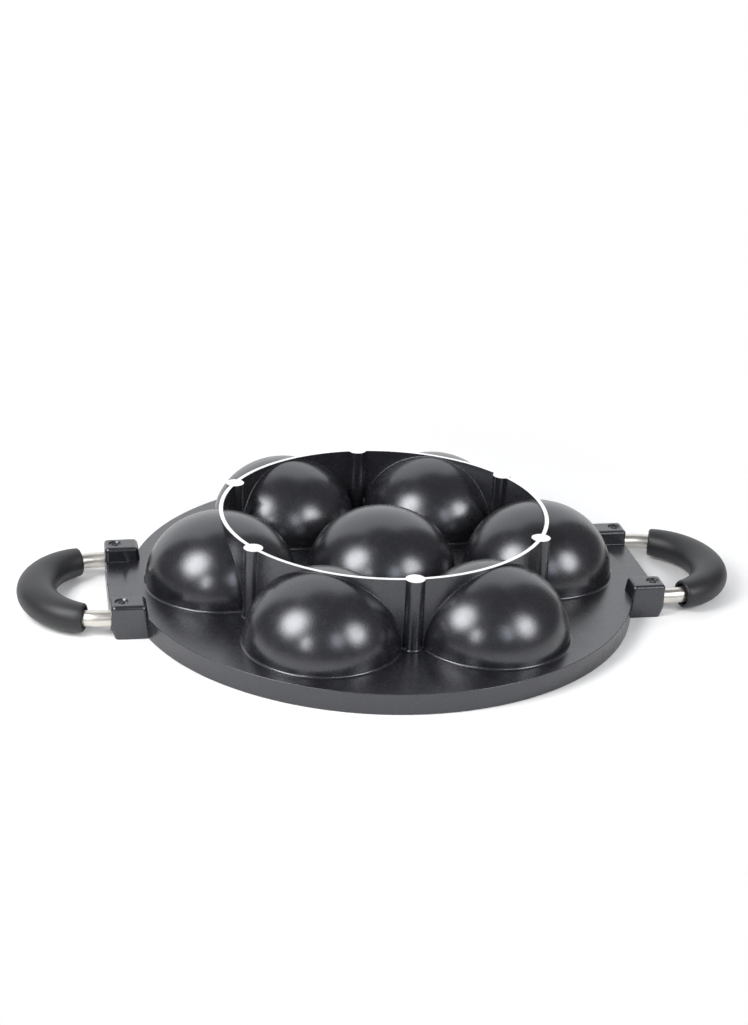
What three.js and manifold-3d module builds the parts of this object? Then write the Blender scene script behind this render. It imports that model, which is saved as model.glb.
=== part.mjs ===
// Seven-cup donut pan with two side handles, standing upside down on its rim.
//
// The pan is one aluminium casting: a round plate with a low rim, six cups around a seventh,
// a stand ring with six posts that carries the pan over a burner, and two ears with handle lugs.
// Each handle is a bent steel rod, pushed into two lugs, held by two pins and covered by a grip.
//
// Millimetres, +Z up. The rim lies on z = 0, the stand ring points up, the centre cup is on the
// Z axis and the handles are on the X axis.

import * as THREE from 'three';
import { mergeVertices } from 'three/addons/utils/BufferGeometryUtils.js';
import Module from 'manifold-3d';

const wasm = await Module();
wasm.setup();

// ---- Driving dimensions ----

// Plate
const PLATE_R = 120;
const PLATE_TOP = 9.8; // the face that the cups and the stand ring rise from
const EDGE_ROUND = 0.9;
const COOKING_FACE = 5.8; // the rim is this deep
const RIM_WIDTH = 3.6;
const RIM_FILLET = 2;

// Cups, half an ellipsoid outside, with a wall of even thickness
const CUP_PITCH = 77; // centre cup to outer cup, and also the radius of the stand ring
const CUP_R = 35.6;
const CUP_CREST = 42.9;
const CUP_WALL = 2.8;
const CUP_FILLET = 1.2; // outside, where the cup meets the plate
const CUP_MOUTH = 2; // rounding of the mouth

// Stand ring
const FOOT_Z = 43.5; // machined foot
const FOOT_WIDTH = 1.9;
const RING_DRAFT = THREE.MathUtils.degToRad(1.3);
const RING_FILLET = 1.2;
const POST_R = 4.4;
const POST_DRAFT = THREE.MathUtils.degToRad(0.4);

// Ears and lugs
const LUG_FACE_X = 130.3;
const LUG_Y = 32;
const LUG_WIDTH = 12.4;
const LUG_HEIGHT = 16.2;
const LUG_ROUND = 1.2; // along the edges of the front and rear faces
const LUG_CORNER = 2; // upper outer corner, seen from the side
const LUG_TOE_X = 2.4; // the lower outer corner is cut off by this much
const LUG_TOE_Z = 4.2;
const LUG_ROOT_R = 119.5; // the lugs end on this circle above the plate
const LUG_ROOT_FILLET = 2;
const WEB_TOP = 8.8; // the ear between the lugs is a little lower than the plate
const WEB_OVERLAP = 1;

// Handles
const ROD_R = 3.75;
const ROD_Z = 7.9;
const BEND_START_X = 134;
const BEND_DEPTH = 29.1;
const ROD_END_X = 118;
const GRIP_END_X = 142;
const GRIP_END_R = 6.6;
const GRIP_MID_R = 9.2; // in the plane of the handle
const GRIP_MID_HEIGHT = 7.8; // half height at the middle
const GRIP_SWELL = 0.7; // below 1, the grip grows quickly near its ends
const GRIP_LIP = 1.2;
const GRIP_SLIP = 1.4; // the right-hand grip has slid along its rod, towards the front
const MOUTH_R = 5.2; // the grip's ends are opened out around the rod
const MOUTH_DEPTH = 3;

// Fixing pins
const PIN_X = 125.3;
const PIN_R = 1.3;
const PIN_BOTTOM = 3;
const PIN_PROUD = 0.3;
const DIMPLE_R = 3.2;
const DIMPLE_DEPTH = 0.7;

const GAP = 0.3; // between pieces that touch

// Fineness
const PLATE_SIDES = 72;
const CUP_SIDES = 30;
const CUP_RINGS = 6;
const HOLLOW_SIDES = 24;
const HOLLOW_RINGS = 5;
const FILLET_STEPS = 1;
const POST_SIDES = 14;
const ROD_SIDES = 14;
const ROD_STEPS = 22;
const GRIP_SIDES = 16;
const GRIP_STEPS = 13;
const PIN_SIDES = 8;

// ---- Derived dimensions ----

const CUP_EQUATOR = PLATE_TOP + CUP_FILLET;
const CUP_HEIGHT = CUP_CREST - CUP_EQUATOR;
const DEEP = PLATE_TOP - 2; // solids that grow out of the plate start here, inside it

// ---- Solids ----

// A closed geometry as a manifold solid.
function solid(geometry) {
  const bare = geometry.clone();
  bare.deleteAttribute('normal');
  bare.deleteAttribute('uv');
  const merged = mergeVertices(bare, 1e-4);
  const index = merged.index.array;
  const triangles = [];
  for (let i = 0; i < index.length; i += 3) {
    const [a, b, c] = [index[i], index[i + 1], index[i + 2]];
    if (a !== b && b !== c && c !== a) triangles.push(a, b, c);
  }
  return new wasm.Manifold(new wasm.Mesh({
    numProp: 3,
    vertProperties: new Float32Array(merged.attributes.position.array),
    triVerts: new Uint32Array(triangles),
  }));
}

// A manifold solid as a geometry.
function geometryOf(body) {
  const mesh = body.getMesh();
  const geometry = new THREE.BufferGeometry();
  geometry.setAttribute('position', new THREE.BufferAttribute(mesh.vertProperties, 3));
  geometry.setIndex(new THREE.BufferAttribute(mesh.triVerts, 1));
  geometry.computeVertexNormals();
  return geometry;
}

// Revolves [radius, height] points about Z. They run from the axis, out, up and back to the axis,
// or right round a section that stands clear of the axis.
function revolve(points, sides) {
  const profile = points.map(([r, z]) => new THREE.Vector2(r, z));
  return solid(new THREE.LatheGeometry(profile, sides).rotateX(Math.PI / 2));
}

// Points of an elliptical arc, from angle a to angle b in degrees.
function arc(cx, cy, rx, ry, a, b, steps) {
  return Array.from({ length: steps + 1 }, (_, i) => {
    const angle = THREE.MathUtils.degToRad(a + (b - a) * i / steps);
    return [cx + rx * Math.cos(angle), cy + ry * Math.sin(angle)];
  });
}

// The six places around the pan, starting at an angle in degrees.
function around(start) {
  return Array.from({ length: 6 }, (_, i) => {
    const angle = THREE.MathUtils.degToRad(start + 60 * i);
    return [CUP_PITCH * Math.cos(angle), CUP_PITCH * Math.sin(angle)];
  });
}

const CUP_CENTRES = [[0, 0], ...around(0)];

function plateDisc() {
  const inset = PLATE_R - EDGE_ROUND;
  return revolve([
    [0, 0],
    ...arc(inset, EDGE_ROUND, EDGE_ROUND, EDGE_ROUND, -90, 0, 2),
    ...arc(inset, PLATE_TOP - EDGE_ROUND, EDGE_ROUND, EDGE_ROUND, 0, 90, 3),
    [0, PLATE_TOP],
  ], PLATE_SIDES);
}

// The shallow tray inside the rim, which the cups open into.
function tray() {
  const wall = PLATE_R - RIM_WIDTH;
  return revolve([
    [0, -1],
    [wall, -1],
    ...arc(wall - RIM_FILLET, COOKING_FACE - RIM_FILLET, RIM_FILLET, RIM_FILLET, 0, 90, 3),
    [0, COOKING_FACE],
  ], PLATE_SIDES);
}

function cupOutside() {
  const skirt = CUP_R + CUP_FILLET;
  return revolve([
    [0, DEEP],
    [skirt, DEEP],
    ...arc(skirt, CUP_EQUATOR, CUP_FILLET, CUP_FILLET, 270, 180, FILLET_STEPS),
    ...arc(0, CUP_EQUATOR, CUP_R, CUP_HEIGHT, 0, 90, CUP_RINGS).slice(1),
  ], CUP_SIDES);
}

function cupInside() {
  const radius = CUP_R - CUP_WALL;
  const lip = radius + CUP_MOUTH;
  return revolve([
    [0, COOKING_FACE - 1],
    [lip, COOKING_FACE - 1],
    ...arc(lip, COOKING_FACE + CUP_MOUTH, CUP_MOUTH, CUP_MOUTH, 270, 180, FILLET_STEPS),
    ...arc(0, CUP_EQUATOR, radius, CUP_HEIGHT - CUP_WALL, 0, 90, HOLLOW_RINGS),
  ], HOLLOW_SIDES);
}

// The wall of the stand ring, thicker at the plate than at the foot, with a fillet at its root.
function standRing() {
  const thicken = (FOOT_Z - PLATE_TOP - RING_FILLET) * Math.tan(RING_DRAFT);
  const half = FOOT_WIDTH / 2;
  const outer = CUP_PITCH + half + thicken;
  const inner = CUP_PITCH - half - thicken;
  const root = PLATE_TOP + RING_FILLET;
  return revolve([
    [outer + RING_FILLET, DEEP],
    ...arc(outer + RING_FILLET, root, RING_FILLET, RING_FILLET, 270, 180, FILLET_STEPS),
    [CUP_PITCH + half, FOOT_Z],
    [CUP_PITCH - half, FOOT_Z],
    ...arc(inner - RING_FILLET, root, RING_FILLET, RING_FILLET, 0, -90, FILLET_STEPS),
    [inner - RING_FILLET, DEEP],
    [outer + RING_FILLET, DEEP],
  ], PLATE_SIDES);
}

// A round post between two cups, flush with the foot.
function post() {
  const root = PLATE_TOP + RING_FILLET;
  const radius = POST_R + (FOOT_Z - root) * Math.tan(POST_DRAFT);
  return revolve([
    [0, DEEP],
    [radius + RING_FILLET, DEEP],
    ...arc(radius + RING_FILLET, root, RING_FILLET, RING_FILLET, 270, 180, FILLET_STEPS),
    [POST_R, FOOT_Z],
    [0, FOOT_Z],
  ], POST_SIDES);
}

// A block with its lowest corner at the given place.
function block(x, y, z, width, depth, height) {
  const box = new THREE.BoxGeometry(width, depth, height);
  return solid(box.translate(x + width / 2, y + depth / 2, z + height / 2));
}

// The right-hand rear lug, before it is bored. Its side view is extruded along Y. It reaches below
// the rim's plane and is trimmed there, so that only its upper edges are rounded.
function lug() {
  const innerX = PLATE_R - 2 * RIM_WIDTH;
  const below = 2 * LUG_ROUND;
  const side = new THREE.Shape();
  side.moveTo(innerX, -below);
  side.lineTo(LUG_FACE_X - LUG_TOE_X * (1 + below / LUG_TOE_Z), -below);
  side.lineTo(LUG_FACE_X, LUG_TOE_Z);
  side.absarc(LUG_FACE_X - LUG_CORNER, LUG_HEIGHT - LUG_CORNER, LUG_CORNER, 0, Math.PI / 2);
  side.lineTo(innerX, LUG_HEIGHT);
  const geometry = new THREE.ExtrudeGeometry(side, {
    depth: LUG_WIDTH - 2 * LUG_ROUND,
    bevelSize: LUG_ROUND,
    bevelThickness: LUG_ROUND,
    bevelOffset: -LUG_ROUND,
    bevelSegments: 1,
    curveSegments: 3,
  });
  geometry.rotateX(Math.PI / 2);
  geometry.translate(0, LUG_Y + LUG_WIDTH / 2 - LUG_ROUND, 0);
  const clearOfPlate = revolve([
    [0, PLATE_TOP],
    [LUG_ROOT_R, PLATE_TOP],
    [LUG_ROOT_R, LUG_HEIGHT + 1],
    [0, LUG_HEIGHT + 1],
  ], PLATE_SIDES);
  return solid(geometry).trimByPlane([0, 0, 1], 0).subtract(clearOfPlate).add(lugRoot());
}

// The fillet between the lug's inner end and the plate, a stretch of a ring.
function lugRoot() {
  const foot = LUG_ROOT_R - LUG_ROOT_FILLET;
  const ring = revolve([
    [foot, DEEP],
    [LUG_ROOT_R + 1, DEEP],
    [LUG_ROOT_R + 1, PLATE_TOP + LUG_ROOT_FILLET],
    ...arc(foot, PLATE_TOP + LUG_ROOT_FILLET, LUG_ROOT_FILLET, LUG_ROOT_FILLET, 0, -90, 3),
    [foot, DEEP],
  ], PLATE_SIDES);
  const width = LUG_WIDTH - 2 * LUG_ROUND;
  return ring.intersect(block(0, LUG_Y - width / 2, 0, LUG_FACE_X, width, LUG_HEIGHT));
}

// What is taken out of a lug: the blind bore for the rod, the pin's hole and a dimple around it.
function lugBore() {
  const depth = LUG_FACE_X - ROD_END_X + GAP + 1;
  const radius = ROD_R + GAP;
  const bore = new THREE.CylinderGeometry(radius, radius, depth, ROD_SIDES);
  bore.rotateZ(Math.PI / 2).translate(ROD_END_X - GAP + depth / 2, LUG_Y, ROD_Z);
  const hole = pinShape(PIN_R + GAP, PIN_BOTTOM - GAP, LUG_HEIGHT + 1);
  const dimple = revolve([
    [0, LUG_HEIGHT - DIMPLE_DEPTH],
    [DIMPLE_R - DIMPLE_DEPTH, LUG_HEIGHT - DIMPLE_DEPTH],
    [DIMPLE_R + DIMPLE_DEPTH, LUG_HEIGHT + DIMPLE_DEPTH],
    [0, LUG_HEIGHT + DIMPLE_DEPTH],
  ], POST_SIDES).translate(PIN_X, LUG_Y, 0);
  return solid(bore).add(hole).add(dimple);
}

// An upright pin in the right-hand rear lug, or the hole for it.
function pinShape(radius, bottom, top) {
  const geometry = new THREE.CylinderGeometry(radius, radius, top - bottom, PIN_SIDES);
  geometry.rotateX(Math.PI / 2).translate(PIN_X, LUG_Y, (bottom + top) / 2);
  return solid(geometry);
}

// The same solid at all four lugs.
function atLugs(body) {
  const rear = [body, body.mirror([1, 0, 0])];
  return [...rear, ...rear.map((each) => each.mirror([0, 1, 0]))];
}

function web(side) {
  const y = LUG_Y - LUG_WIDTH / 2 + WEB_OVERLAP + LUG_ROUND;
  const inner = PLATE_R - 2 * RIM_WIDTH;
  const width = LUG_FACE_X - inner;
  return block(side > 0 ? inner : -LUG_FACE_X, -y, 0, width, 2 * y, WEB_TOP);
}

function panCasting() {
  let pan = plateDisc().add(standRing());
  for (const [x, y] of CUP_CENTRES) pan = pan.add(cupOutside().translate(x, y, 0));
  for (const [x, y] of around(30)) pan = pan.add(post().translate(x, y, 0));
  for (const side of [-1, 1]) pan = pan.add(web(side));
  for (const each of atLugs(lug())) pan = pan.add(each);
  pan = pan.subtract(tray());
  for (const [x, y] of CUP_CENTRES) pan = pan.subtract(cupInside().translate(x, y, 0));
  for (const each of atLugs(lugBore())) pan = pan.subtract(each);
  return pan;
}

// ---- Handles ----

// The right-hand handle's centre line: out of the rear lug, round half an ellipse, into the
// front lug.
function handleLine() {
  const apexX = BEND_START_X + BEND_DEPTH;
  const reach = 0.5523; // a cubic curve's control length for a quarter of an ellipse
  const at = (x, y) => new THREE.Vector3(x, y, ROD_Z);
  const line = new THREE.CurvePath();
  line.add(new THREE.LineCurve3(at(ROD_END_X, LUG_Y), at(BEND_START_X, LUG_Y)));
  line.add(new THREE.CubicBezierCurve3(
    at(BEND_START_X, LUG_Y),
    at(BEND_START_X + BEND_DEPTH * reach, LUG_Y),
    at(apexX, LUG_Y * reach),
    at(apexX, 0),
  ));
  line.add(new THREE.CubicBezierCurve3(
    at(apexX, 0),
    at(apexX, -LUG_Y * reach),
    at(BEND_START_X + BEND_DEPTH * reach, -LUG_Y),
    at(BEND_START_X, -LUG_Y),
  ));
  line.add(new THREE.LineCurve3(at(BEND_START_X, -LUG_Y), at(ROD_END_X, -LUG_Y)));
  return line;
}

function handleRod() {
  const section = new THREE.Shape().absarc(0, 0, ROD_R, 0, 2 * Math.PI);
  const rod = solid(new THREE.ExtrudeGeometry(section, {
    steps: ROD_STEPS,
    extrudePath: handleLine(),
    curveSegments: ROD_SIDES / 2,
    bevelEnabled: false,
  }));
  const hole = pinShape(PIN_R + GAP, PIN_BOTTOM, LUG_HEIGHT);
  return rod.subtract(hole).subtract(hole.mirror([0, 1, 0]));
}

// Lofts a tube along a stretch of the centre line. size(s) gives the half width and half height
// at a distance s along the stretch.
function loftAlong(line, start, distances, size, sides) {
  const total = line.getLength();
  const positions = [];
  const index = [];
  distances.forEach((s) => {
    const u = (start + s) / total;
    const centre = line.getPointAt(u);
    const ahead = line.getTangentAt(u);
    const across = new THREE.Vector3(-ahead.y, ahead.x, 0);
    const [width, height] = size(s);
    for (let i = 0; i < sides; i += 1) {
      const angle = 2 * Math.PI * i / sides;
      const point = centre.clone().addScaledVector(across, width * Math.cos(angle));
      positions.push(point.x, point.y, point.z + height * Math.sin(angle));
    }
  });
  const ring = (r, i) => r * sides + i % sides;
  const last = distances.length - 1;
  for (let r = 0; r < last; r += 1) {
    for (let i = 0; i < sides; i += 1) {
      index.push(ring(r, i), ring(r, i + 1), ring(r + 1, i));
      index.push(ring(r, i + 1), ring(r + 1, i + 1), ring(r + 1, i));
    }
  }
  for (let i = 1; i < sides - 1; i += 1) {
    index.push(ring(0, 0), ring(0, i + 1), ring(0, i));
    index.push(ring(last, 0), ring(last, i), ring(last, i + 1));
  }
  const geometry = new THREE.BufferGeometry();
  geometry.setAttribute('position', new THREE.Float32BufferAttribute(positions, 3));
  geometry.setIndex(index);
  return solid(geometry);
}

// Distance along the centre line to where it passes a given x on its way out.
function distanceTo(line, x) {
  const total = line.getLength();
  let low = 0;
  let high = total / 2;
  while (high - low > 1e-3) {
    const middle = (low + high) / 2;
    if (line.getPointAt(middle / total).x < x) low = middle;
    else high = middle;
  }
  return low;
}

// The moulded grip: a sleeve that swells towards its middle, with rounded ends that open out
// around the rod. It is moved along the rod by slip.
function handleGrip(slip) {
  const line = handleLine();
  const margin = distanceTo(line, GRIP_END_X);
  const start = margin + slip;
  const length = line.getLength() - 2 * margin;
  const body = Array.from({ length: GRIP_STEPS + 1 }, (_, i) => (
    GRIP_LIP + (length - 2 * GRIP_LIP) * i / GRIP_STEPS
  ));
  const outside = (s) => {
    const swell = Math.sin(Math.PI * s / length) ** GRIP_SWELL;
    const lip = Math.max(0, 1 - Math.min(s, length - s) / GRIP_LIP);
    const turn = GRIP_LIP * (1 - Math.sqrt(1 - lip * lip));
    return [
      GRIP_END_R + (GRIP_MID_R - GRIP_END_R) * swell - turn,
      GRIP_END_R + (GRIP_MID_HEIGHT - GRIP_END_R) * swell - turn,
    ];
  };
  const lips = [0.02, 0.35].map((part) => part * GRIP_LIP);
  const stations = [...lips, ...body, ...lips.map((s) => length - s).reverse()];
  const sleeve = loftAlong(line, start, stations, outside, GRIP_SIDES);

  const clear = ROD_R + GAP;
  const mouth = (s) => {
    const radius = Math.min(s, length + 2 - s) < MOUTH_DEPTH + 1 ? MOUTH_R : clear;
    return [radius, radius];
  };
  const taper = MOUTH_DEPTH + 1 + MOUTH_R - clear;
  const inner = Array.from({ length: GRIP_STEPS + 1 }, (_, i) => (
    taper + (length + 2 - 2 * taper) * i / GRIP_STEPS
  ));
  const ends = [0, MOUTH_DEPTH + 0.99];
  const bore = [...ends, ...inner, ...ends.map((s) => length + 2 - s).reverse()];
  return sleeve.subtract(loftAlong(line, start - 1, bore, mouth, ROD_SIDES));
}

// A pin that stands a little proud of the dimple's floor, with a domed end.
function pin() {
  const top = LUG_HEIGHT - DIMPLE_DEPTH + PIN_PROUD;
  return revolve([
    [0, PIN_BOTTOM],
    [PIN_R, PIN_BOTTOM],
    ...arc(0, top - PIN_R / 2, PIN_R, PIN_R / 2, 0, 90, 2),
  ], PIN_SIDES);
}

// ---- Assembly ----

const coating = new THREE.MeshStandardMaterial({ color: 0x232426, roughness: 0.42, metalness: 0.25 });
const steel = new THREE.MeshStandardMaterial({ color: 0xb8b3aa, roughness: 0.32, metalness: 1 });
const gripPlastic = new THREE.MeshStandardMaterial({ color: 0x3a3a3d, roughness: 0.62, metalness: 0 });
const pinSteel = new THREE.MeshStandardMaterial({ color: 0xc9c9c9, roughness: 0.3, metalness: 1 });

function part(name, body, material) {
  const mesh = new THREE.Mesh(geometryOf(body), material);
  mesh.name = name;
  return mesh;
}

const pan = new THREE.Group();
pan.add(part('pan_casting', panCasting(), coating));

for (const side of ['right', 'left']) {
  const handle = new THREE.Group();
  handle.rotation.z = side === 'right' ? 0 : Math.PI;
  handle.add(part(`handle_rod_${side}`, handleRod(), steel));
  handle.add(part(`handle_grip_${side}`, handleGrip(side === 'right' ? GRIP_SLIP : 0), gripPlastic));
  for (const y of [LUG_Y, -LUG_Y]) {
    const rear = (y > 0) === (side === 'right');
    const each = part(`fixing_pin_${side}_${rear ? 'rear' : 'front'}`, pin(), pinSteel);
    each.position.set(PIN_X, y, 0);
    handle.add(each);
  }
  pan.add(handle);
}

export default pan;
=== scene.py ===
import math

import bmesh
import bpy
import numpy as np
from mathutils import Matrix, Vector

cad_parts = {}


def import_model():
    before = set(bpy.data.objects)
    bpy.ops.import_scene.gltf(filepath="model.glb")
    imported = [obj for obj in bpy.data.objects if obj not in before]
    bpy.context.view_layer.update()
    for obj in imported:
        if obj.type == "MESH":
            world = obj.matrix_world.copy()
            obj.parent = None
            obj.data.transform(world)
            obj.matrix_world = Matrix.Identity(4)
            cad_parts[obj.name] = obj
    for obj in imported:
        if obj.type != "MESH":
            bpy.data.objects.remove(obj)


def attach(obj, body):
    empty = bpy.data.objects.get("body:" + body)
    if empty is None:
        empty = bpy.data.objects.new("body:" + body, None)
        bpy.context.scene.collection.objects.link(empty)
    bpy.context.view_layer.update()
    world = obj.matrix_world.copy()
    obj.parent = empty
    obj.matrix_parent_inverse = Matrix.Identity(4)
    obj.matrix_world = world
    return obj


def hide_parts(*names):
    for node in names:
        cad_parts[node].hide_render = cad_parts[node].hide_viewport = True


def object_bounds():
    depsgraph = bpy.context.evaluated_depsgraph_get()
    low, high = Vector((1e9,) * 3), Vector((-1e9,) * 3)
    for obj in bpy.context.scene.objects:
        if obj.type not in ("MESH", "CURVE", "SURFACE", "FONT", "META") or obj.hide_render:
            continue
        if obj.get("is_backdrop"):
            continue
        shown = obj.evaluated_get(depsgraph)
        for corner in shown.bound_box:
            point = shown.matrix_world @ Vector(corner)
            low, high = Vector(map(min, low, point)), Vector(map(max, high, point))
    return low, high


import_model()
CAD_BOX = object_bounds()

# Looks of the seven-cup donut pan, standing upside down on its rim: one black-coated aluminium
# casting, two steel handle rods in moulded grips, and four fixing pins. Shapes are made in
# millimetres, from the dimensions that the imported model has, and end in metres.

MM = 0.001
SHADE = "shade"  # the attribute with the true normal at each corner, which booleans carry along

# ---- Dimensions of the object, in millimetres ----

# Plate
PLATE_R = 120
PLATE_TOP = 9.8  # the face that the cups and the stand ring rise from
EDGE_ROUND = 0.25
COOKING_FACE = 5.8  # the rim is this deep
RIM_WIDTH = 3.6
RIM_FILLET = 2

# Cups, half an ellipsoid outside
CUP_PITCH = 77  # centre cup to outer cup, and also the radius of the stand ring
CUP_R = 35.6
CUP_CREST = 42.9
CUP_WALL = 2.8
CUP_FILLET = 1.2  # outside, where the cup meets the plate
CUP_MOUTH = 2  # rounding of the mouth

# Stand ring
FOOT_Z = 43.5  # machined foot
FOOT_WIDTH = 1.9
FOOT_ALLOWANCE = 1  # what the machining takes off
RING_DRAFT = math.radians(1.3)
RING_FILLET = 1.2
POST_R = 4.4
POST_DRAFT = math.radians(0.4)

# Lugs and ears
LUG_FACE_X = 130.3
LUG_END_X = 114.4
LUG_END_SLOPE = math.radians(8)
LUG_Y = 32
LUG_WIDTH = 12.4
LUG_HEIGHT = 16.2
LUG_ROUND = 2  # along the top and the outer upright edges
LUG_NOSE = 2  # on the inner upright edges
LUG_TOE_X = 1.6  # the lower outer corner is cut off by this much
LUG_TOE_Z = 4.2
ROOT_TOP = 8.6
WEB_TOP = 8.8  # the ear between the lugs is a little lower than the plate
WEB_OVERLAP = 1
WEB_ROUND = 0.7
EAR_SLOPE = 4  # width of the wave between the plate and the left ear

# Handles
ROD_R = 3.75
ROD_Z = 7.9
ROD_END_X = 118
ROD_CHAMFER = 0.5
BEND_START_X = 134
BEND_DEPTH = 29.1
GRIP_END_X = 142
GRIP_END_R = 6.6
GRIP_MID_R = 9.2  # in the plane of the handle
GRIP_MID_HEIGHT = 7.8  # half height at the middle
GRIP_SWELL = 0.7  # below 1, the grip grows quickly near its ends
GRIP_LIP = 1.2
GRIP_SLIP = 1.4  # the right-hand grip has slid along its rod, towards the front
MOUTH_R = 5.2  # the grip's ends are opened out around the rod
MOUTH_DEPTH = 3
MOUTH_CHAMFER = 0.3

# Fixing pins
PIN_X = 125.3
PIN_R = 1.3
PIN_BOTTOM = 3
PIN_PROUD = 0.3
DIMPLE_R = 3.2
DIMPLE_DEPTH = 0.7

GAP = 0.3  # between pieces that touch
PAST = 1  # cutters and hidden ends reach this far past a face

# Casting radii where two shapes meet
BLEND_CUP_WALL = 0.45
BLEND_CUP_POST = 0.4
BLEND_POST_WALL = 0.4
BLEND_LUG_WEB = 1.0
BLEND_ROOT = 0.5  # how far above DEEP the fillets of the cups start
SINK = 0.02  # fillets lie this much inside the surfaces that they join
COVER = 1.0  # and their hidden edge lies this deep
MOST_HIDDEN = 0.45  # share of its arc sunk at each side

# Fineness
PLATE_SIDES = 288
CUP_SIDES = 128
CUP_RINGS = 30
HOLLOW_SIDES = 96
HOLLOW_RINGS = 20
POST_SIDES = 48
PIN_SIDES = 32
EDGE_STEPS = 5
ROUND_STEPS = 6
FILLET_STEPS = 7
BLEND_STEPS = 8
SLOPE_STEPS = 8
ROD_SIDES = 40
ROD_STEP = 1.6
GRIP_SIDES = 56
GRIP_STEPS = 72
BEND_POINTS = 200
WALL_STATIONS = 26  # stops of the ball that makes a fillet
SADDLE_STATIONS = 14
POST_STATIONS = 6
HALVINGS = 40  # of an interval that holds a crossing
DECIMALS = 5  # corners that agree this far are welded

# ---- Derived dimensions ----

CUP_EQUATOR = PLATE_TOP + CUP_FILLET
CUP_HEIGHT = CUP_CREST - CUP_EQUATOR
DEEP = PLATE_TOP - 2  # solids that grow out of the plate start here, inside it
ROOT_Z = PLATE_TOP + RING_FILLET  # the stand ring and its posts stand on fillets up to here
CAST_TOP = FOOT_Z + FOOT_ALLOWANCE
LUG_INNER_Y = LUG_Y - LUG_WIDTH / 2
WEB_INNER_X = PLATE_R - 2 * RIM_WIDTH
FAR = 2 * PLATE_R  # past everything, for cutters


# ---- Closed surfaces with their true normals ----

class Skin:
    """Quads of closed solids, in millimetres, each corner with the surface's normal."""

    def __init__(self):
        self.quads = []
        self.normals = []

    def grid(self, points, normals=None):
        """Adds a grid of points, shape (rows, columns, 3). Without normals it is shaded flat."""
        points = np.asarray(points, float)
        corners = self._corners(points)
        self.quads.append(corners)
        if normals is None:
            flat = np.cross(corners[:, 2] - corners[:, 0], corners[:, 3] - corners[:, 1])
            flat /= np.maximum(np.linalg.norm(flat, axis=1), 1e-12)[:, None]
            self.normals.append(np.repeat(flat[:, None], 4, axis=1))
        else:
            self.normals.append(self._corners(np.asarray(normals, float)))

    @staticmethod
    def _corners(grid):
        quads = [grid[:-1, :-1], grid[:-1, 1:], grid[1:, 1:], grid[1:, :-1]]
        return np.stack([each.reshape(-1, 3) for each in quads], axis=1)

    def fan(self, loop, flip=False):
        """Closes a flat loop of points with triangles from its first point."""
        loop = np.asarray(loop, float)
        if flip:
            loop = loop[::-1]
        first = np.repeat(loop[:1], len(loop) - 2, axis=0)
        quads = np.stack([first, loop[1:-1], loop[2:], loop[2:]], axis=1)
        normal = np.cross(quads[:, 1] - quads[:, 0], quads[:, 2] - quads[:, 0]).sum(axis=0)
        normal /= np.linalg.norm(normal)
        self.quads.append(quads)
        self.normals.append(np.broadcast_to(normal, quads.shape))

    def mesh(self, name):
        """The welded mesh, with SHADE at its corners and its faces turned outwards."""
        corners = np.concatenate(self.quads)
        normals = np.concatenate(self.normals)
        keys = np.round(corners.reshape(-1, 3), DECIMALS) + 0.0
        places, index = np.unique(keys, axis=0, return_inverse=True)
        index = index.reshape(-1, 4)
        a, b, c, d = (places[index[:, i]] for i in range(4))
        volume = (np.cross(a, b) * c).sum() + (np.cross(a, c) * d).sum()
        faces, shades = [], []
        for quad, shade in zip(index.tolist(), normals):
            keep = [i for i in range(4) if quad[i] != quad[i - 1]]
            if len(keep) < 3:
                continue
            if volume < 0:
                keep.reverse()
            faces.append([quad[i] for i in keep])
            shades.append(shade[keep])
        mesh = bpy.data.meshes.new(name)
        mesh.from_pydata(places, [], faces)
        attribute = mesh.attributes.new(SHADE, "FLOAT_VECTOR", "CORNER")
        attribute.data.foreach_set("vector", np.concatenate(shades).astype(np.float32).ravel())
        return mesh


def lines(*points):
    """The straight runs of a profile from point to point. A run has rows of radius, height and
    their normal."""
    runs = []
    for (r0, z0), (r1, z1) in zip(points, points[1:]):
        length = math.hypot(r1 - r0, z1 - z0)
        normal = ((z1 - z0) / length, (r0 - r1) / length)
        runs.append(np.array([(r0, z0, *normal), (r1, z1, *normal)]))
    return runs


def arc(centre_r, centre_z, radius_r, radius_z, start, end, steps):
    """An elliptical run of a profile, from one angle to another in degrees."""
    angle = np.radians(np.linspace(start, end, steps + 1))
    turn = math.copysign(1, end - start)
    along_r = -radius_r * np.sin(angle) * turn
    along_z = radius_z * np.cos(angle) * turn
    length = np.hypot(along_r, along_z)
    r = centre_r + radius_r * np.cos(angle)
    z = centre_z + radius_z * np.sin(angle)
    return np.stack([r, z, along_z / length, -along_r / length], axis=1)


def revolve(runs, sides, centres=((0, 0),)):
    """Revolves a profile about upright axes. It runs from the axis, out, up and back to it."""
    skin = Skin()
    angle = np.linspace(0, 2 * np.pi, sides + 1)
    angle[-1] = 0
    cos, sin = np.cos(angle), np.sin(angle)
    for x, y in centres:
        for run in runs:
            r, z, nr, nz = (run[:, i, None] for i in range(4))
            flat = np.zeros_like(r * cos)
            points = np.stack([x + r * cos, y + r * sin, flat + z], axis=2)
            normals = np.stack([nr * cos, nr * sin, flat + nz], axis=2)
            skin.grid(points, normals)
    return skin


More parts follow.
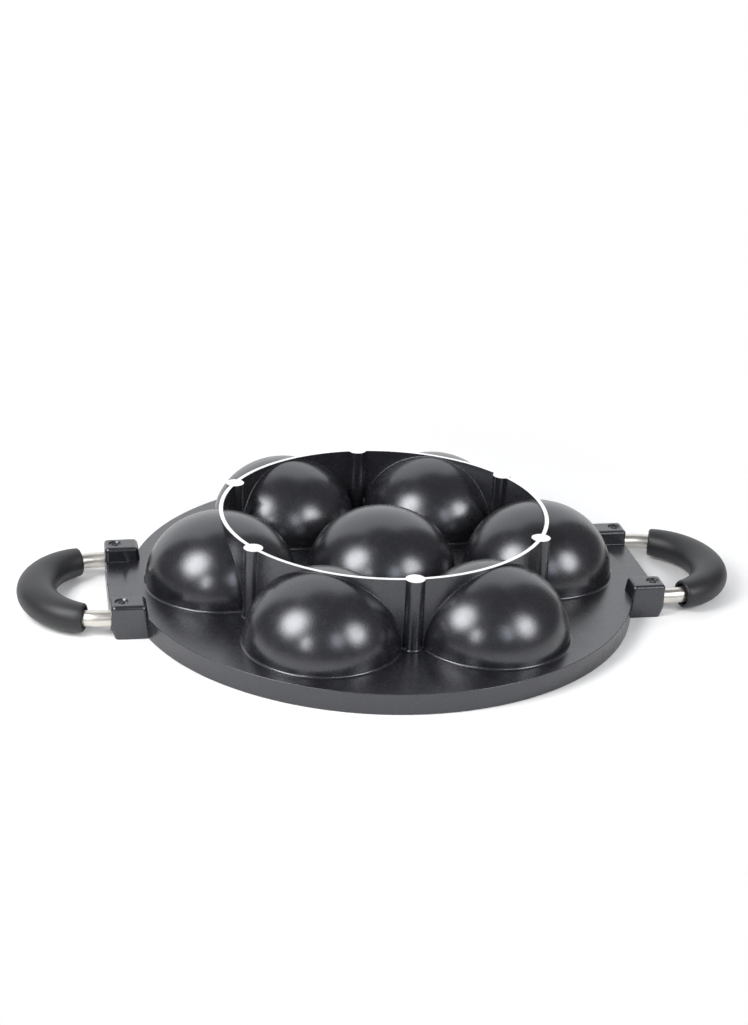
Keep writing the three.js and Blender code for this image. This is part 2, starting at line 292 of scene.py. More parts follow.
def blend(stations, skin=None):
    """Fills the corner between two surfaces, under a ball that rolls along it. Each station has
    the ball's centre, the two surfaces' normals towards it, and its radius."""
    skin = skin or Skin()
    loops, shades = [], []
    for centre, normal_a, normal_b, radius in stations:
        middle = normal_a + normal_b
        facing = float(normal_a @ normal_b)
        centre = centre - SINK * middle / (1 + facing)
        between = math.acos(max(-1, min(1, facing)))
        hidden = min(MOST_HIDDEN, math.sqrt(2 * SINK / radius) / between)
        share = np.linspace(0, 1, BLEND_STEPS + 1)
        toward = slerp(-normal_a, -normal_b, between, share)
        shown = np.clip((share - hidden) / (1 - 2 * hidden), 0, 1)
        inside = centre - middle / np.linalg.norm(middle) * (radius / math.cos(between / 2) + COVER)
        loops.append(np.vstack([centre + radius * toward, inside]))
        shades.append(-slerp(-normal_a, -normal_b, between, shown))
    loops, shades = np.array(loops), np.array(shades)
    skin.grid(loops[:, :-1], shades)
    skin.grid(loops[:, -2:])
    skin.grid(loops[:, [-1, 0]])
    skin.fan(loops[0], flip=True)
    skin.fan(loops[-1])
    return skin


def slerp(a, b, between, share):
    """Directions at shares of the way from a to b, which have this angle between them."""
    share = share[:, None]
    return (np.sin((1 - share) * between) * a + np.sin(share * between) * b) / math.sin(between)


def turned(stations, degrees, mirror):
    """Stations turned about the pan's axis, and mirrored front to back first where asked."""
    angle = math.radians(degrees)
    cos, sin = math.cos(angle), math.sin(angle)
    turn = np.array([(cos, -sin, 0), (sin, cos, 0), (0, 0, 1)])
    if mirror:
        turn = turn @ np.diag([1, -1, 1])
    return [(turn @ c, turn @ a, turn @ b, radius) for c, a, b, radius in stations]


def solve(gap, low, high):
    """Where gap crosses zero. It is positive at low and negative at high."""
    for _ in range(HALVINGS):
        middle = (low + high) / 2
        if gap(middle) > 0:
            low = middle
        else:
            high = middle
    return (low + high) / 2


# ---- Booleans ----

def boolean(mesh, operation, other):
    """mesh joined with another mesh, or cut by it. Both meshes are used up."""
    if operation == "DIFFERENCE":  # the cut faces look the other way
        turn_shades(other, Matrix.Diagonal((-1, -1, -1)))
    bodies = []
    for each in (mesh, other):
        body = bpy.data.objects.new(each.name, each)
        bpy.context.scene.collection.objects.link(body)
        bodies.append(body)
    modifier = bodies[0].modifiers.new(operation, "BOOLEAN")
    modifier.operation = operation
    modifier.solver = "MANIFOLD"
    modifier.object = bodies[1]
    evaluated = bodies[0].evaluated_get(bpy.context.evaluated_depsgraph_get())
    result = bpy.data.meshes.new_from_object(evaluated)
    for body in bodies:
        data = body.data
        bpy.data.objects.remove(body)
        bpy.data.meshes.remove(data)
    return result


def cut_box(low, high):
    """A box as a mesh, to cut with."""
    low, high = np.array(low, float), np.array(high, float)
    skin = Skin()
    for axis in range(3):
        first, second = [each for each in range(3) if each != axis]
        for side in (low, high):
            grid = np.tile(low, (2, 2, 1))
            grid[:, :, axis] = side[axis]
            grid[1, :, first] = high[first]
            grid[:, 1, second] = high[second]
            if (side is low) == (axis == 1):
                grid = grid.transpose(1, 0, 2)
            skin.grid(grid)
    return skin.mesh("cutter")


# ---- The casting ----

def around(start):
    """The six places around the pan, starting at an angle in degrees."""
    angles = np.radians(start + 60 * np.arange(6))
    return [(CUP_PITCH * math.cos(a), CUP_PITCH * math.sin(a)) for a in angles]


CUP_CENTRES = [(0, 0), *around(0)]


def plate_disc():
    """The solid plate, before the tray is taken out of it."""
    inset = PLATE_R - EDGE_ROUND
    return revolve([
        *lines((0, 0), (inset, 0)),
        arc(inset, EDGE_ROUND, EDGE_ROUND, EDGE_ROUND, -90, 0, EDGE_STEPS),
        *lines((PLATE_R, EDGE_ROUND), (PLATE_R, PLATE_TOP - EDGE_ROUND)),
        arc(inset, PLATE_TOP - EDGE_ROUND, EDGE_ROUND, EDGE_ROUND, 0, 90, ROUND_STEPS),
        *lines((inset, PLATE_TOP), (0, PLATE_TOP)),
    ], PLATE_SIDES).mesh("plate")


def tray():
    """The shallow recess inside the rim, which the cups open into."""
    wall = PLATE_R - RIM_WIDTH
    start = COOKING_FACE - RIM_FILLET
    return revolve([
        *lines((0, -PAST), (wall, -PAST), (wall, start)),
        arc(wall - RIM_FILLET, start, RIM_FILLET, RIM_FILLET, 0, 90, ROUND_STEPS),
        *lines((wall - RIM_FILLET, COOKING_FACE), (0, COOKING_FACE)),
    ], PLATE_SIDES).mesh("tray")


def cups_outside():
    """The seven domes, with the fillet round each."""
    skirt = CUP_R + CUP_FILLET
    return revolve([
        *lines((0, DEEP), (skirt, DEEP), (skirt, PLATE_TOP)),
        arc(skirt, CUP_EQUATOR, CUP_FILLET, CUP_FILLET, 270, 180, FILLET_STEPS),
        arc(0, CUP_EQUATOR, CUP_R, CUP_HEIGHT, 0, 90, CUP_RINGS),
    ], CUP_SIDES, CUP_CENTRES).mesh("cups")


def cups_inside():
    """What the cups hold, with the rounded mouth round each."""
    radius = CUP_R - CUP_WALL
    lip = radius + CUP_MOUTH
    low, throat = COOKING_FACE - PAST, COOKING_FACE + CUP_MOUTH
    return revolve([
        *lines((0, low), (lip, low), (lip, COOKING_FACE)),
        arc(lip, throat, CUP_MOUTH, CUP_MOUTH, 270, 180, ROUND_STEPS),
        *lines((radius, throat), (radius, CUP_EQUATOR)),
        arc(0, CUP_EQUATOR, radius, CUP_HEIGHT - CUP_WALL, 0, 90, HOLLOW_RINGS),
    ], HOLLOW_SIDES, CUP_CENTRES).mesh("hollows")


def wall_half(z):
    """Half the thickness of the stand ring's wall at a height."""
    return FOOT_WIDTH / 2 + (FOOT_Z - z) * math.tan(RING_DRAFT)


def post_radius(z):
    """A post's radius at a height."""
    return POST_R + (FOOT_Z - z) * math.tan(POST_DRAFT)


def stand_ring():
    """The stand ring's wall. It stands a little too high, until the foot is machined."""
    root, top = wall_half(ROOT_Z), wall_half(CAST_TOP)
    outer = CUP_PITCH + root + RING_FILLET
    inner = CUP_PITCH - root - RING_FILLET
    return revolve([
        *lines((inner, DEEP), (outer, DEEP), (outer, PLATE_TOP)),
        arc(outer, ROOT_Z, RING_FILLET, RING_FILLET, 270, 180, FILLET_STEPS),
        *lines((CUP_PITCH + root, ROOT_Z), (CUP_PITCH + top, CAST_TOP),
               (CUP_PITCH - top, CAST_TOP), (CUP_PITCH - root, ROOT_Z)),
        arc(inner, ROOT_Z, RING_FILLET, RING_FILLET, 0, -90, FILLET_STEPS),
        *lines((inner, PLATE_TOP), (inner, DEEP)),
    ], PLATE_SIDES).mesh("ring")


def posts():
    """The six posts, each between two cups."""
    root, top = post_radius(ROOT_Z), post_radius(CAST_TOP)
    skirt = root + RING_FILLET
    return revolve([
        *lines((0, DEEP), (skirt, DEEP), (skirt, PLATE_TOP)),
        arc(skirt, ROOT_Z, RING_FILLET, RING_FILLET, 270, 180, FILLET_STEPS),
        *lines((root, ROOT_Z), (top, CAST_TOP), (0, CAST_TOP)),
    ], POST_SIDES, around(30)).mesh("posts")


def cup_point(u, v, side):
    """A point and normal on the first outer cup. u turns from the point furthest out (side 1) or
    in (side -1), and v rises from the cup's equator. Below the equator the cup is upright."""
    if v < 0:
        normal = np.array([side * math.cos(u), math.sin(u), 0])
        flat = CUP_R * normal
        return flat + (CUP_PITCH, 0, CUP_EQUATOR + CUP_HEIGHT * v), normal
    flat = CUP_R * math.cos(v)
    point = np.array([
        CUP_PITCH + side * flat * math.cos(u),
        flat * math.sin(u),
        CUP_EQUATOR + CUP_HEIGHT * math.sin(v),
    ])
    normal = np.array([
        side * math.cos(v) * math.cos(u) / CUP_R,
        math.cos(v) * math.sin(u) / CUP_R,
        math.sin(v) / CUP_HEIGHT,
    ])
    return point, normal / np.linalg.norm(normal)


def wall_gap(place, side):
    """Distance from a place to the ring's outer (side 1) or inner (side -1) wall, and the wall's
    normal there."""
    radius = math.hypot(place[0], place[1])
    gap = (side * (radius - CUP_PITCH) - wall_half(place[2])) * math.cos(RING_DRAFT)
    lean = side * math.cos(RING_DRAFT) / radius
    return gap, np.array([place[0] * lean, place[1] * lean, math.sin(RING_DRAFT)])


def post_gap(place, centre):
    """Distance from a place to an upright post, and the post's normal there."""
    away = np.array([place[0] - centre[0], place[1] - centre[1], 0])
    distance = np.linalg.norm(away)
    return distance - post_radius(place[2]), away / distance


def heights_on_cup(top, count):
    """Heights on a cup as angles, from just below the top one down into the plate."""
    below = (DEEP + BLEND_ROOT - CUP_EQUATOR) / CUP_HEIGHT
    return [*(top * (1 - (i / count) ** 2) for i in range(1, count + 1)), below]


def cup_wall_stations(side):
    """A ball between a cup and the ring's wall, from the plate over the crest to the plate."""
    def radius(v):
        """The full radius, softly limited near the crest to most of the height to the foot."""
        room = 0.85 * (FOOT_Z - cup_point(0, v, side)[0][2])
        power = 4
        return (BLEND_CUP_WALL ** -power + room ** -power) ** (-1 / power)

    def spare(u, v):
        point, normal = cup_point(u, v, side)
        return wall_gap(point + radius(v) * normal, side)[0] - radius(v)

    def station(u, v):
        point, normal = cup_point(u, v, side)
        centre = point + radius(v) * normal
        return centre, normal, wall_gap(centre, side)[1], radius(v)

    last = solve(lambda v: spare(0, v), 0, math.pi / 2)
    half = []
    for v in heights_on_cup(last, WALL_STATIONS):
        u = solve(lambda each: spare(each, v), 0, math.radians(150))
        half.append(station(u, v))
    return [*turned(half[::-1], 0, True), station(0, last), *half]


def cup_post_stations():
    """A ball between the first outer cup and the post after it, from the plate on the inside of
    the ring, up over the saddle and down to the plate on the outside."""
    centre = around(30)[0]
    radius = BLEND_CUP_POST
    facing = math.atan2(centre[1], centre[0] - CUP_PITCH)

    def spare(u, v):
        point, normal = cup_point(u, v, 1)
        return post_gap(point + radius * normal, centre)[0] - radius

    def station(u, v):
        point, normal = cup_point(u, v, 1)
        ball = point + radius * normal
        return ball, normal, post_gap(ball, centre)[1], radius

    saddle = solve(lambda v: -spare(facing, v), 0, math.radians(60))
    inside, outside = [], []
    for v in heights_on_cup(saddle, SADDLE_STATIONS):
        u = solve(lambda each: -spare(each, v), facing, facing + math.radians(60))
        inside.append(station(u, v))
        u = solve(lambda each: -spare(facing - each, v), 0, math.radians(60))
        outside.append(station(facing - u, v))
    return [*inside[::-1], station(facing, saddle), *outside]


def post_wall_stations(side):
    """A ball that rises between the ring's wall and a post on the X axis, on its rear side."""
    radius = BLEND_POST_WALL

    def place(turn, z):
        reach = post_radius(z) + radius
        return np.array([CUP_PITCH + side * reach * math.cos(turn), reach * math.sin(turn), z])

    stations = []
    for z in np.linspace(DEEP, FOOT_Z + 0.8 * FOOT_ALLOWANCE, POST_STATIONS):
        turn = solve(lambda each: wall_gap(place(each, z), side)[0] - radius, 0, math.pi * 0.6)
        centre = place(turn, z)
        normal = np.array([side * math.cos(turn), math.sin(turn), 0])
        stations.append((centre, normal, wall_gap(centre, side)[1], radius))
    return stations


def casting_blends():
    """The fillets of the stand ring, in groups of solids that stand clear of each other."""
    groups = [(cup_wall_stations(side), 0, False) for side in (1, -1)]
    groups.extend((cup_post_stations(), 0, mirror) for mirror in (False, True))
    for side in (1, -1):
        groups.extend((post_wall_stations(side), 30, mirror) for mirror in (False, True))
    for stations, start, mirror in groups:
        skin = Skin()
        for sixth in range(0, 360, 60):
            blend(turned(stations, start + sixth, mirror), skin)
        yield skin.mesh("blends")


def cushion(face, bottom, top, low, high, corner_steps):
    """A block beside the plate, on the right, from low to high along Y. Its ends are rounded by
    WEB_ROUND, which is added to its outline. The upper outer edge turns in steps."""
    inner, radius = WEB_INNER_X, WEB_ROUND
    corner = [(face, top, math.cos(turn), math.sin(turn))
              for turn in np.linspace(0, np.pi / 2, corner_steps + 1)]
    outline = np.array([
        (inner, bottom, 0, -1), (face, bottom, 0, -1), (face, bottom, 1, 0), *corner,
        (inner, top, 0, 1), (inner, top, -1, 0), (inner, bottom, -1, 0), (inner, bottom, 0, -1),
    ], float)
    skin = Skin()
    rows, shades = [], []
    quarter = np.linspace(0, np.pi / 2, EDGE_STEPS + 1)
    for middle, turns in ((low + radius, quarter - np.pi / 2), (high - radius, quarter)):
        for turn in turns:
            reach = radius * math.cos(turn)
            x = outline[:, 0] + reach * outline[:, 2]
            z = outline[:, 1] + reach * outline[:, 3]
            y = np.full_like(x, middle + radius * math.sin(turn))
            rows.append(np.stack([x, y, z], axis=1))
            shades.append(np.stack([
                math.cos(turn) * outline[:, 2],
                np.full_like(x, math.sin(turn)),
                math.cos(turn) * outline[:, 3],
            ], axis=1))
    skin.grid(rows, shades)
    skin.fan(rows[0][:-1], flip=True)
    skin.fan(rows[-1][:-1])
    return skin.mesh("cushion")


def lug_plan():
    """The lug seen from above: a rectangle with round corners, as rows of x, y and their
    outward normal."""
    rows = []
    corners = ((1, 1, LUG_ROUND), (-1, 1, LUG_NOSE), (-1, -1, LUG_NOSE), (1, -1, LUG_ROUND))
    for quarter, (x_side, y_side, radius) in enumerate(corners):
        x = (LUG_FACE_X - radius) if x_side > 0 else (LUG_END_X + radius)
        y = LUG_Y + y_side * (LUG_WIDTH / 2 - radius)
        for t in np.linspace(0, np.pi / 2, ROUND_STEPS + 1) + quarter * np.pi / 2:
            rows.append((x + radius * math.cos(t), y + radius * math.sin(t),
                         math.cos(t), math.sin(t)))
    rows.append(rows[0])
    return np.array(rows)


def lug():
    """The right-hand rear lug, stacked up from its plan. Its outer end leans in towards the
    foot, its inner end leans out, and its top edges are round."""
    plan = lug_plan()
    x, y, nx, ny = plan.T
    outer = x > (LUG_END_X + LUG_FACE_X) / 2
    toe = LUG_TOE_X / LUG_TOE_Z
    lean = math.tan(LUG_END_SLOPE)

    def level(z, drawn_in=0.0, tilt=0.0, on_toe=False):
        """The plan at a height, drawn in by some millimetres, with its normals tilted up."""
        slope = np.where(outer, toe if on_toe else 0, lean)
        start = np.where(outer, LUG_TOE_Z, LUG_HEIGHT)
        points = np.stack([x - drawn_in * nx + slope * (z - start),
                           y - drawn_in * ny, np.full_like(x, z)], axis=1)
        normals = np.stack([math.cos(tilt) * nx, math.cos(tilt) * ny,
                            math.sin(tilt) - slope * math.cos(tilt) * nx], axis=1)
        return points, normals / np.linalg.norm(normals, axis=1)[:, None]

    skin = Skin()
    foot = [level(0, on_toe=True), level(LUG_TOE_Z, on_toe=True)]
    shoulder = LUG_HEIGHT - LUG_ROUND
    crown = [level(shoulder + LUG_ROUND * math.sin(t), LUG_ROUND * (1 - math.cos(t)), t)
             for t in np.linspace(0, np.pi / 2, FILLET_STEPS + 1)]
    for run in (foot, [level(LUG_TOE_Z), crown[0]], crown):
        points, normals = zip(*run)
        skin.grid(points, normals)
    skin.fan(foot[0][0][:-1], flip=True)
    skin.fan(crown[-1][0][:-1])
    return skin.mesh("lug")


def lug_root():
    """What joins the right-hand rear lug's foot to the plate. It ends just inside the lug's rear
    side and in the ear."""
    low = LUG_INNER_Y - WEB_OVERLAP
    high = LUG_Y + LUG_WIDTH / 2 - WEB_OVERLAP / 2
    return cushion(PIN_X - 2 * PIN_R, 2 * WEB_ROUND, ROOT_TOP - WEB_ROUND, low, high, 1)


def lug_bore():
    """What is taken out of a lug: the rod's blind bore, the pin's hole and a dimple round it."""
    along = plug(ROD_R + GAP, ROD_END_X - GAP, LUG_FACE_X + PAST, ROD_SIDES)
    lie_down = Matrix(((0, 0, 1), (0, 1, 0), (-1, 0, 0)))
    along.transform(Matrix.Translation((0, LUG_Y, ROD_Z)) @ lie_down.to_4x4())
    turn_shades(along, lie_down)
    radius, bottom = PIN_R + GAP, PIN_BOTTOM - GAP
    low, high = LUG_HEIGHT - DIMPLE_DEPTH, LUG_HEIGHT + DIMPLE_DEPTH
    profile = lines(
        (0, bottom), (radius, bottom), (radius, low), (DIMPLE_R - DIMPLE_DEPTH, low),
        (DIMPLE_R + DIMPLE_DEPTH, high), (0, high),
    )
    upright = revolve(profile, PIN_SIDES, [(PIN_X, LUG_Y)]).mesh("pin_hole")
    return boolean(along, "UNION", upright)


def plug(radius, bottom, top, sides, centre=(0, 0)):
    """An upright cylinder, to cut with."""
    profile = lines((0, bottom), (radius, bottom), (radius, top), (0, top))
    return revolve(profile, sides, [centre]).mesh("plug")


def stored_normals(mesh):
    """The true normals at a mesh's corners."""
    data = mesh.attributes[SHADE].data
    normals = np.zeros(len(data) * 3, np.float32)
    data.foreach_get("vector", normals)
    return normals.reshape(-1, 3)


def turn_shades(mesh, matrix):
    """Turns a mesh's stored normals as its points were turned."""
    normals = stored_normals(mesh) @ np.array(matrix.transposed())
    mesh.attributes[SHADE].data.foreach_set("vector", normals.astype(np.float32).ravel())


BOTH_SIDES = ((1, 1), (-1, 1))
ALL_CORNERS = ((1, 1), (1, -1), (-1, 1), (-1, -1))


def mirrored(make, corners=ALL_CORNERS):
    """Copies of what make() returns, mirrored from the rear right to other corners."""
    for x, y in corners:
        mesh = make()
        mirror = Matrix.Diagonal((x, y, 1))
        mesh.transform(mirror.to_4x4())
        turn_shades(mesh, mirror)
        if x * y < 0:
            mesh.flip_normals()
        yield mesh


def web():
    """The ear between the right-hand lugs, with a rounded outer edge, cut level with the rim."""
    reach = LUG_INNER_Y + WEB_OVERLAP + LUG_ROUND
    bottom, top = -2 * PAST, WEB_TOP - WEB_ROUND
    mesh = cushion(LUG_FACE_X - WEB_ROUND, bottom, top, -reach, reach, EDGE_STEPS)
    return boolean(mesh, "DIFFERENCE", cut_box((0, -FAR, -FAR), (FAR, FAR, 0)))


def left_ear_slope():
    """On the left the plate's top runs down to the ear in a soft wave."""
    drop = PLATE_TOP - WEB_TOP
    turn = 2 * math.atan(drop / EAR_SLOPE)
    radius = EAR_SLOPE / 2 / math.sin(turn)
    start, end = PLATE_R - EDGE_ROUND, PLATE_R - EDGE_ROUND + EAR_SLOPE
    degrees = math.degrees(turn)
    mesh = revolve([
        *lines((0, DEEP - PAST), (end, DEEP - PAST), (end, WEB_TOP)),
        arc(end, WEB_TOP + radius, radius, radius, 270, 270 - degrees, SLOPE_STEPS),
        arc(start, PLATE_TOP - radius, radius, radius, 90 - degrees, 90, SLOPE_STEPS),
        *lines((start, PLATE_TOP), (0, PLATE_TOP)),
    ], PLATE_SIDES).mesh("left_ear_slope")
    reach = LUG_INNER_Y + WEB_OVERLAP
    elsewhere = (((-FAR, reach), (FAR, FAR)), ((-FAR, -FAR), (FAR, -reach)),
                 ((EAR_SLOPE - PLATE_R, -FAR), (FAR, FAR)))
    for low, high in elsewhere:
        mesh = boolean(mesh, "DIFFERENCE", cut_box((*low, 0), (*high, FAR)))
    return mesh


def lug_web_blend():
    """The fillet along the foot of the right-hand rear lug's inward face, above the ear."""
    radius = BLEND_LUG_WEB
    up, inward = np.array([0, 0, 1.0]), np.array([0, -1.0, 0])
    stations = []
    for x in (LUG_END_X + LUG_NOSE / 2, LUG_FACE_X - LUG_ROUND / 2):
        centre = np.array([x, LUG_INNER_Y - radius, WEB_TOP + radius])
        stations.append((centre, up, inward, radius))
    return blend(stations).mesh("lug_web_blend")


def above_foot():
    """What the machining of the foot takes away. Its lower face is narrow rings of small quads,
    so that the ring's foot is never one face with a hole."""
    edges = [0, CUP_PITCH - 2 * POST_R, CUP_PITCH, CUP_PITCH + 2 * POST_R, FAR]
    profile = lines(*[(edge, FOOT_Z) for edge in edges], (FAR, FAR), (0, FAR))
    return revolve(profile, PLATE_SIDES).mesh("above_foot")


def pan_casting_mesh():
    """The whole casting: first what is added to the plate, then what is taken away."""
    mesh = plate_disc()
    for part in (cups_outside(), stand_ring(), posts(), *casting_blends()):
        mesh = boolean(mesh, "UNION", part)
    for each in mirrored(web, BOTH_SIDES):
        mesh = boolean(mesh, "UNION", each)
    mesh = boolean(mesh, "UNION", left_ear_slope())
    for make in (lug_root, lug, lug_web_blend):
        for each in mirrored(make):
            mesh = boolean(mesh, "UNION", each)
    for cutter in (above_foot(), tray(), cups_inside(), *mirrored(lug_bore)):
        mesh = boolean(mesh, "DIFFERENCE", cutter)
    return mesh


def drop_hidden_shells(mesh):
    """Leaves only the largest shell, so that corners which the fillets close off stay solid."""
    shape = bmesh.new()
    shape.from_mesh(mesh)
    waiting = set(shape.verts)
    shells = []
    while waiting:
        reached = [waiting.pop()]
        shell = []
        while reached:
            vert = reached.pop()
            shell.append(vert)
            for edge in vert.link_edges:
                other = edge.other_vert(vert)
                if other in waiting:
                    waiting.remove(other)
                    reached.append(other)
        shells.append(shell)
    for shell in sorted(shells, key=len)[:-1]:
        bmesh.ops.delete(shape, geom=shell, context="VERTS")
    shape.to_mesh(mesh)
    shape.free()


MOST_ASTRAY = math.radians(55)
FOOT_TOLERANCE = 0.01  # faces this near the foot's height belong to it


def use_shades(mesh):
    """Gives the mesh the true normals that its corners carry. A corner whose stored normal is far
    from its face's takes the face's."""
    normals = stored_normals(mesh)
    lengths = np.linalg.norm(normals, axis=1)
    normals /= np.maximum(lengths, 1e-6)[:, None]
    flat = np.zeros((len(mesh.polygons), 3), np.float32)
    mesh.polygons.foreach_get("normal", flat.reshape(-1))
    corners = np.zeros(len(mesh.polygons), np.int32)
    mesh.polygons.foreach_get("loop_total", corners)
    flat = np.repeat(flat, corners, axis=0)
    astray = (normals * flat).sum(axis=1) < math.cos(MOST_ASTRAY)
    normals[astray] = flat[astray]
    mesh.attributes.remove(mesh.attributes[SHADE])
    mesh.shade_smooth()
    mesh.normals_split_custom_set(normals)


def finish_piece(name, mesh, materials, nodes):
    """Makes a mesh in millimetres a piece of the object, in metres."""
    mesh.transform(Matrix.Scale(MM, 4))
    mesh.name = name
    mesh.materials.clear()
    for each in materials:
        mesh.materials.append(each)
    piece = bpy.data.objects.new(name, mesh)
    bpy.context.scene.collection.objects.link(piece)
    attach(piece, "root")
    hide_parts(*nodes)


def pan_casting(coating, machined):
    """The casting as a piece, coated but for the machined foot."""
    mesh = pan_casting_mesh()
    drop_hidden_shells(mesh)
    use_shades(mesh)
    on_foot = [polygon.center.z > FOOT_Z - FOOT_TOLERANCE for polygon in mesh.polygons]
    finish_piece("casting", mesh, [coating, machined], ["pan_casting"])
    for polygon, is_machined in zip(mesh.polygons, on_foot):
        polygon.material_index = int(is_machined)


# ---- Handles ----

def handle_line():
    """The right-hand handle's centre line from above, rear end first: its points, and how far
    along it each of them is."""
    def bend(share):
        control = 0.5523  # a cubic curve's control length for a quarter of an ellipse
        apex = BEND_START_X + BEND_DEPTH
        corners = [
            (BEND_START_X, LUG_Y), (BEND_START_X + BEND_DEPTH * control, LUG_Y),
            (apex, LUG_Y * control), (apex, 0),
        ]
        weights = [(1 - share) ** 3, 3 * share * (1 - share) ** 2,
                   3 * share ** 2 * (1 - share), share ** 3]
        return sum(w * np.array(c, float) for w, c in zip(weights, corners))

    quarter = [bend(share) for share in np.linspace(0, 1, BEND_POINTS)]
    rear = [np.array([ROD_END_X, LUG_Y], float), *quarter]
    front = [np.array([x, -y]) for x, y in rear[:-1]][::-1]
    path = np.array([*rear, *front])
    gone = np.concatenate([[0], np.cumsum(np.linalg.norm(np.diff(path, axis=0), axis=1))])
    return path, gone


def ring_at(path, gone, s, width, height, sides):
    """A ring of points round the centre line, at a distance along it."""
    reach = 0.4
    behind, place, ahead = (
        np.array([np.interp(each, gone, path[:, i]) for i in (0, 1)])
        for each in (s - reach, s, s + reach)
    )
    direction = (ahead - behind) / np.linalg.norm(ahead - behind)
    angle = np.linspace(0, 2 * np.pi, sides + 1)
    angle[-1] = 0
    across = np.array([-direction[1], direction[0]])
    flat = place + np.outer(width * np.cos(angle), across)
    return np.column_stack([flat, ROD_Z + height * np.sin(angle)])


def smooth_below(mesh, degrees):
    """Shades the mesh smooth across edges that turn less than this, instead of by SHADE."""
    mesh.attributes.remove(mesh.attributes[SHADE])
    mesh.shade_smooth()
    mesh.set_sharp_from_angle(angle=math.radians(degrees))


def handle_rod_mesh():
    """The bent rod, with chamfered ends and a hole for each pin."""
    path, gone = handle_line()
    end = gone[-1]
    steps = np.linspace(0, end, round(end / ROD_STEP) + 1)[1:-1]
    small = ROD_R - ROD_CHAMFER
    sizes = [(0, small), (ROD_CHAMFER, ROD_R), *((s, ROD_R) for s in steps),
             (end - ROD_CHAMFER, ROD_R), (end, small)]
    rings = [ring_at(path, gone, s, radius, radius, ROD_SIDES) for s, radius in sizes]
    skin = Skin()
    skin.grid(rings)
    skin.fan(rings[0][:-1], flip=True)
    skin.fan(rings[-1][:-1])
    mesh = skin.mesh("rod")
    for y in (LUG_Y, -LUG_Y):
        hole = plug(PIN_R + GAP, -2 * PAST, LUG_HEIGHT, PIN_SIDES, (PIN_X, y))
        mesh = boolean(mesh, "DIFFERENCE", hole)
    smooth_below(mesh, 30)
    return mesh


def grip_sizes(length):
    """Distances along the grip with its outside half width and half height there."""
    first = 0.08  # an angle just past the lip's edge
    lips = GRIP_LIP * (1 - np.cos(np.linspace(first, np.pi / 2, EDGE_STEPS + 1)))
    body = np.linspace(GRIP_LIP, length - GRIP_LIP, GRIP_STEPS)
    sizes = []
    for s in (*lips[:-1], *body, *(length - lips[:-1])[::-1]):
        swell = math.sin(math.pi * s / length) ** GRIP_SWELL
        lip = max(0, 1 - min(s, length - s) / GRIP_LIP)
        turn = GRIP_LIP * (1 - math.sqrt(1 - lip * lip))
        width = GRIP_END_R + (GRIP_MID_R - GRIP_END_R) * swell - turn
        height = GRIP_END_R + (GRIP_MID_HEIGHT - GRIP_END_R) * swell - turn
        sizes.append((s, width, height))
    return sizes


def handle_grip_mesh(slip):
    """A moulded sleeve on the rod, with rounded ends that open out round it."""
    path, gone = handle_line()
    margin = solve(lambda s: GRIP_END_X - np.interp(s, gone, path[:, 0]), 0, gone[-1] / 2)
    start = margin + slip
    length = gone[-1] - 2 * margin
    clear = ROD_R + GAP
    mouth = [(0, MOUTH_R + MOUTH_CHAMFER), (MOUTH_CHAMFER, MOUTH_R), (MOUTH_DEPTH, MOUTH_R),
             (MOUTH_DEPTH + MOUTH_R - clear, clear)]
    even = 8  # from here on the bore is drawn in even steps
    bore = [(s, clear) for s in np.linspace(even, length - even, GRIP_STEPS)]
    inside = [*mouth, *bore, *[(length - s, r) for s, r in mouth[::-1]]]
    sizes = grip_sizes(length)
    sizes.extend((s, r, r) for s, r in inside[::-1])
    sizes.append(sizes[0])
    skin = Skin()
    skin.grid([ring_at(path, gone, start + s, w, h, GRIP_SIDES) for s, w, h in sizes])
    mesh = skin.mesh("grip")
    smooth_below(mesh, 50)
    return mesh


def pin_mesh():
    """A pin that stands a little proud of the dimple's floor, with a domed end."""
    top = LUG_HEIGHT - DIMPLE_DEPTH + PIN_PROUD
    dome = PIN_R / 2
    mesh = revolve([
        *lines((0, PIN_BOTTOM), (PIN_R, PIN_BOTTOM), (PIN_R, top - dome)),
        arc(0, top - dome, PIN_R, dome, 0, 90, ROUND_STEPS),
    ], PIN_SIDES).mesh("pin")
    smooth_below(mesh, 40)
    return mesh


def handles(steel, plastic, pin_steel):
    """Both handles with their pins. The left-hand one is the right-hand one turned round."""
    for side, half_turn in (("right", 0), ("left", math.pi)):
        turn = Matrix.Rotation(half_turn, 4, "Z")
        rod = handle_rod_mesh()
        rod.transform(turn)
        finish_piece(f"rod_{side}", rod, [steel], [f"handle_rod_{side}"])
        grip = handle_grip_mesh(GRIP_SLIP if side == "right" else 0)
        grip.transform(turn)
        finish_piece(f"grip_{side}", grip, [plastic], [f"handle_grip_{side}"])
        for y in (LUG_Y, -LUG_Y):
            end = "rear" if (y > 0) == (side == "right") else "front"
            pin = pin_mesh()
            pin.transform(turn @ Matrix.Translation((PIN_X, y, 0)))
            finish_piece(f"pin_{side}_{end}", pin, [pin_steel],
                         [f"fixing_pin_{side}_{end}"])


# ---- Materials ----

def new_material(name, metallic=0):
    """A material with its node tree and its Principled shader."""
    material = bpy.data.materials.new(name)
    material.use_nodes = True
    tree = material.node_tree
    shader = tree.nodes["Principled BSDF"]
    shader.inputs["Metallic"].default_value = metallic
    return material, tree, shader


